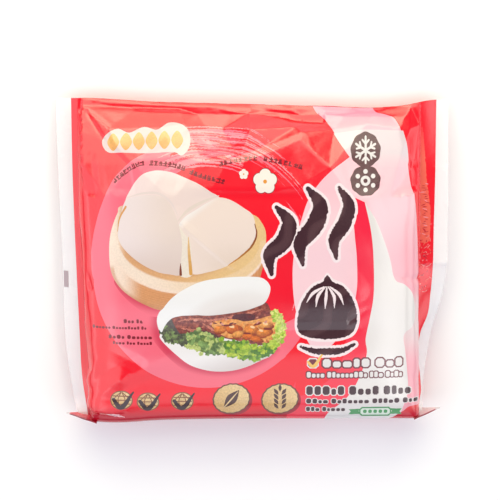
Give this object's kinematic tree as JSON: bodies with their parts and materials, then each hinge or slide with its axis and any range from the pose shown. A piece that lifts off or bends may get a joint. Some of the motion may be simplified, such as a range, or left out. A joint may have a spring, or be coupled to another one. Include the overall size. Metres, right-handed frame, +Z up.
{
  "type": "frozen steamed bun bag",
  "caption": "Shut printed plastic bag filled with frozen folded steamed buns, lying flat on its back, with clear side seals and folded foot corners.",
  "frame": {"origin": "on the floor, under the middle of the bag's bounding box", "axes": "+X across the bag to the right of its print, +Y up the bag towards its top seal, +Z up through its thickness, out of the printed side"},
  "size_m": [0.2424, 0.2022, 0.0421],
  "materials": {
    "printed_film": "glossy printed film, crimson",
    "clear_film": "clear welded film margin, slightly cloudy"
  },
  "bodies": {
    "root": {"bag": "printed_film"}
  },
  "joints": []
}
